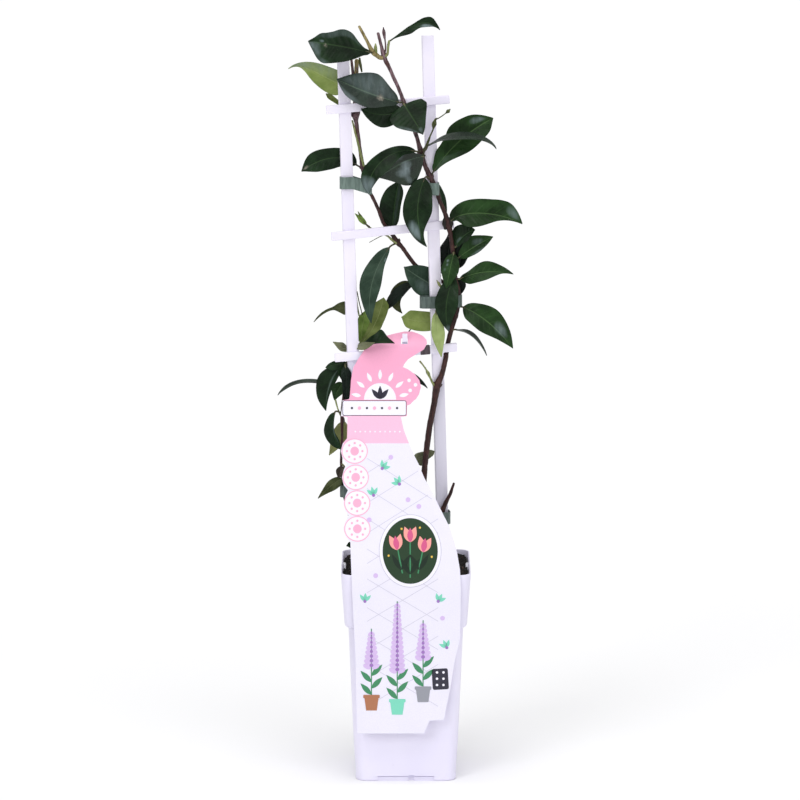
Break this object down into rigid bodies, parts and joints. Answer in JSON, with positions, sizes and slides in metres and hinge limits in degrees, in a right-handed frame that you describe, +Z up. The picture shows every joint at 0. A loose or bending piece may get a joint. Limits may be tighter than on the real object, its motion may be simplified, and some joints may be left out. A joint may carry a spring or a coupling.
{
  "type": "potted climbing plant",
  "caption": "Young star jasmine in a square nursery pot, tied to a ladder trellis, with a hanging plant card over the front rim.",
  "frame": {"origin": "centre of the pot's base, on the plane that the pot stands on", "axes": "+Z up along the plant's height, -Y the front of the pot where the plant card hangs, +X to the right seen from the front"},
  "size_m": [0.2284, 0.1236, 0.712],
  "materials": {
    "pot_plastic": "satin",
    "trellis_plastic": "satin",
    "card": "satin",
    "tape": "satin",
    "soil": "matte",
    "stem": "satin",
    "leaf": "satin"
  },
  "bodies": {
    "root": {"card_hook": "trellis_plastic", "cut_stem": "stem", "leaf_left_vine_01": "leaf", "leaf_left_vine_02": "leaf", "leaf_left_vine_03": "leaf", "leaf_left_vine_04": "leaf", "leaf_left_vine_05": "leaf", "leaf_left_vine_06": "leaf", "leaf_left_vine_07": "leaf", "leaf_low_vine_01": "leaf", "leaf_low_vine_02": "leaf", "leaf_low_vine_03": "leaf", "leaf_low_vine_04": "leaf", "leaf_low_vine_05": "leaf", "leaf_low_vine_06": "leaf", "leaf_low_vine_07": "leaf", "leaf_low_vine_08": "leaf", "leaf_low_vine_09": "leaf", "leaf_right_vine_01": "leaf", "leaf_right_vine_02": "leaf", "leaf_right_vine_03": "leaf", "leaf_right_vine_04": "leaf", "leaf_right_vine_05": "leaf", "leaf_right_vine_06": "leaf", "leaf_right_vine_07": "leaf", "leaf_right_vine_08": "leaf", "leaf_right_vine_09": "leaf", "leaf_right_vine_10": "leaf", "leaf_right_vine_11": "leaf", "leaf_right_vine_12": "leaf", "leaf_right_vine_13": "leaf", "leaf_right_vine_14": "leaf", "leaf_right_vine_15": "leaf", "leaf_right_vine_16": "leaf", "leaf_right_vine_17": "leaf", "leaf_right_vine_18": "leaf", "leaf_right_vine_19": "leaf", "leaf_right_vine_20": "leaf", "leaf_right_vine_21": "leaf", "leaf_right_vine_22": "leaf", "leaf_right_vine_23": "leaf", "leaf_top_twig_01": "leaf", "left_vine": "stem", "low_vine": "stem", "plant_card": "card", "pot": "pot_plastic", "potting_soil": "soil", "right_vine": "stem", "tie_left_lower": "tape", "tie_left_upper": "tape", "tie_right_lower": "tape", "tie_right_middle": "tape", "tie_right_upper": "tape", "trellis_rail_left": "trellis_plastic", "trellis_rail_right": "trellis_plastic", "trellis_rung_bottom": "trellis_plastic", "trellis_rung_middle": "trellis_plastic", "trellis_rung_top": "trellis_plastic"}
  },
  "joints": []
}
